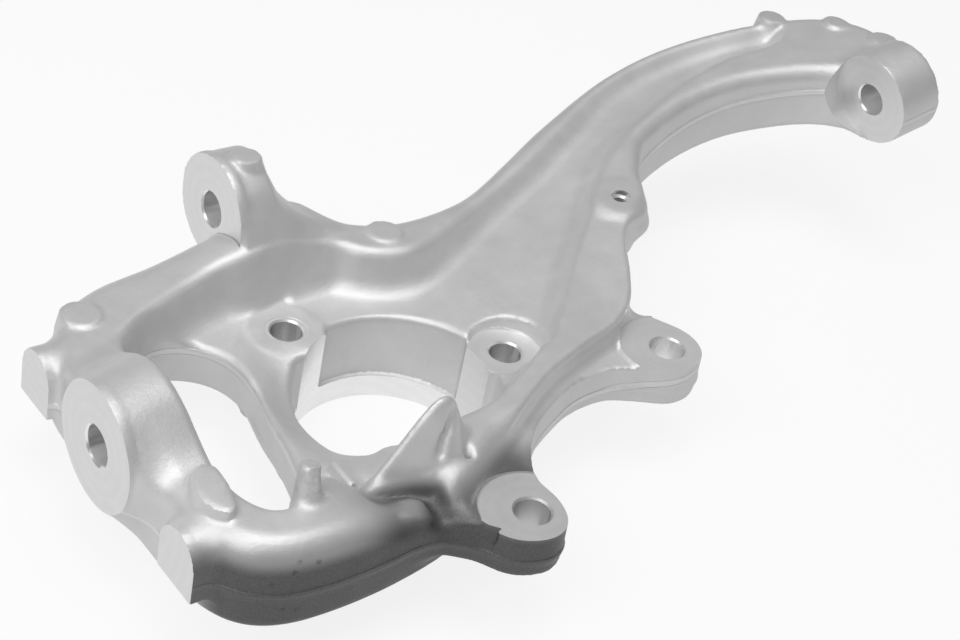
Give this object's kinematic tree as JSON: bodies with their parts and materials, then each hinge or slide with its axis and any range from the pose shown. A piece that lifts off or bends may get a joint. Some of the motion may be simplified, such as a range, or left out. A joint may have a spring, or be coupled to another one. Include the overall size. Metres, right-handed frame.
{
  "type": "steering knuckle",
  "caption": "Bare cast-aluminium front steering knuckle with a hub bore, swan neck, steering arm boss, caliper ears and ball joint bosses.",
  "frame": {"origin": "centre of the hub bore on its outboard seat face", "axes": "+Z along the hub axis, inboard (up as the part lies); +X from the lower ball joint towards the swan neck; +Y towards the steering arm"},
  "size_m": [0.4922, 0.2442, 0.1123],
  "materials": {
    "cast_aluminium": "sand-cast, matt, with bright machined faces"
  },
  "bodies": {
    "root": {"knuckle_casting": "cast_aluminium"}
  },
  "joints": []
}
